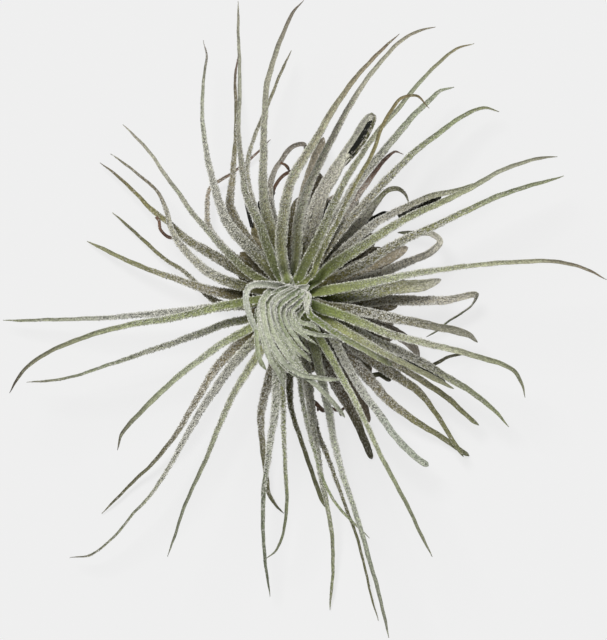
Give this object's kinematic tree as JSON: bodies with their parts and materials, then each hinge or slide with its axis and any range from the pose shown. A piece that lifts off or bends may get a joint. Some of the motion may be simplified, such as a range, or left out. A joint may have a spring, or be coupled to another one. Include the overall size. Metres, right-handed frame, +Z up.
{
  "type": "air plant",
  "caption": "Stemless-looking air plant rosette of narrow, channelled, fuzzy silver-green leaves with dried outer leaves, resting on the cut base of its short stem.",
  "frame": {"origin": "middle of the short stem's cut base, on the surface that the plant rests on", "axes": "+Z up along the stem, out of the heart of the rosette; +X and +Y lie in the resting surface, with the longest leaf tips towards -Y"},
  "size_m": [0.152, 0.1598, 0.0543],
  "materials": {
    "outer_leaf": "dry, matt, fine grey scales over brown",
    "middle_leaf": "matt grey-green under silver scales",
    "inner_leaf": "matt green under silver scales",
    "heart_leaf": "pale silver-green, densely scaled",
    "stem_bark": "dry brown bark of old leaf bases"
  },
  "bodies": {
    "root": {"stem": "stem_bark", "outer_leaf_01": "outer_leaf", "outer_leaf_02": "outer_leaf", "outer_leaf_03": "outer_leaf", "outer_leaf_04": "outer_leaf", "outer_leaf_05": "outer_leaf", "outer_leaf_06": "outer_leaf", "outer_leaf_07": "outer_leaf", "outer_leaf_08": "outer_leaf", "outer_leaf_09": "outer_leaf", "outer_leaf_10": "outer_leaf", "outer_leaf_11": "outer_leaf", "outer_leaf_12": "outer_leaf", "outer_leaf_13": "outer_leaf", "outer_leaf_14": "outer_leaf", "outer_leaf_15": "outer_leaf", "outer_leaf_16": "outer_leaf", "outer_leaf_17": "outer_leaf", "outer_leaf_18": "outer_leaf", "outer_leaf_19": "outer_leaf", "outer_leaf_20": "outer_leaf", "outer_leaf_21": "outer_leaf", "outer_leaf_22": "outer_leaf", "outer_leaf_23": "outer_leaf", "middle_leaf_01": "middle_leaf", "middle_leaf_02": "middle_leaf", "middle_leaf_03": "middle_leaf", "middle_leaf_04": "middle_leaf", "middle_leaf_05": "middle_leaf", "middle_leaf_06": "middle_leaf", "middle_leaf_07": "middle_leaf", "middle_leaf_08": "middle_leaf", "middle_leaf_09": "middle_leaf", "middle_leaf_10": "middle_leaf", "middle_leaf_11": "middle_leaf", "middle_leaf_12": "middle_leaf", "middle_leaf_13": "middle_leaf", "middle_leaf_14": "middle_leaf", "middle_leaf_15": "middle_leaf", "middle_leaf_16": "middle_leaf", "middle_leaf_17": "middle_leaf", "middle_leaf_18": "middle_leaf", "inner_leaf_01": "inner_leaf", "inner_leaf_02": "inner_leaf", "inner_leaf_03": "inner_leaf", "inner_leaf_04": "inner_leaf", "inner_leaf_05": "inner_leaf", "inner_leaf_06": "inner_leaf", "inner_leaf_07": "inner_leaf", "inner_leaf_08": "inner_leaf", "inner_leaf_09": "inner_leaf", "inner_leaf_10": "inner_leaf", "inner_leaf_11": "inner_leaf", "inner_leaf_12": "inner_leaf", "inner_leaf_13": "inner_leaf", "inner_leaf_14": "inner_leaf", "inner_leaf_15": "inner_leaf", "inner_leaf_16": "inner_leaf", "heart_leaf_01": "heart_leaf", "heart_tuft": "heart_leaf"}
  },
  "joints": []
}
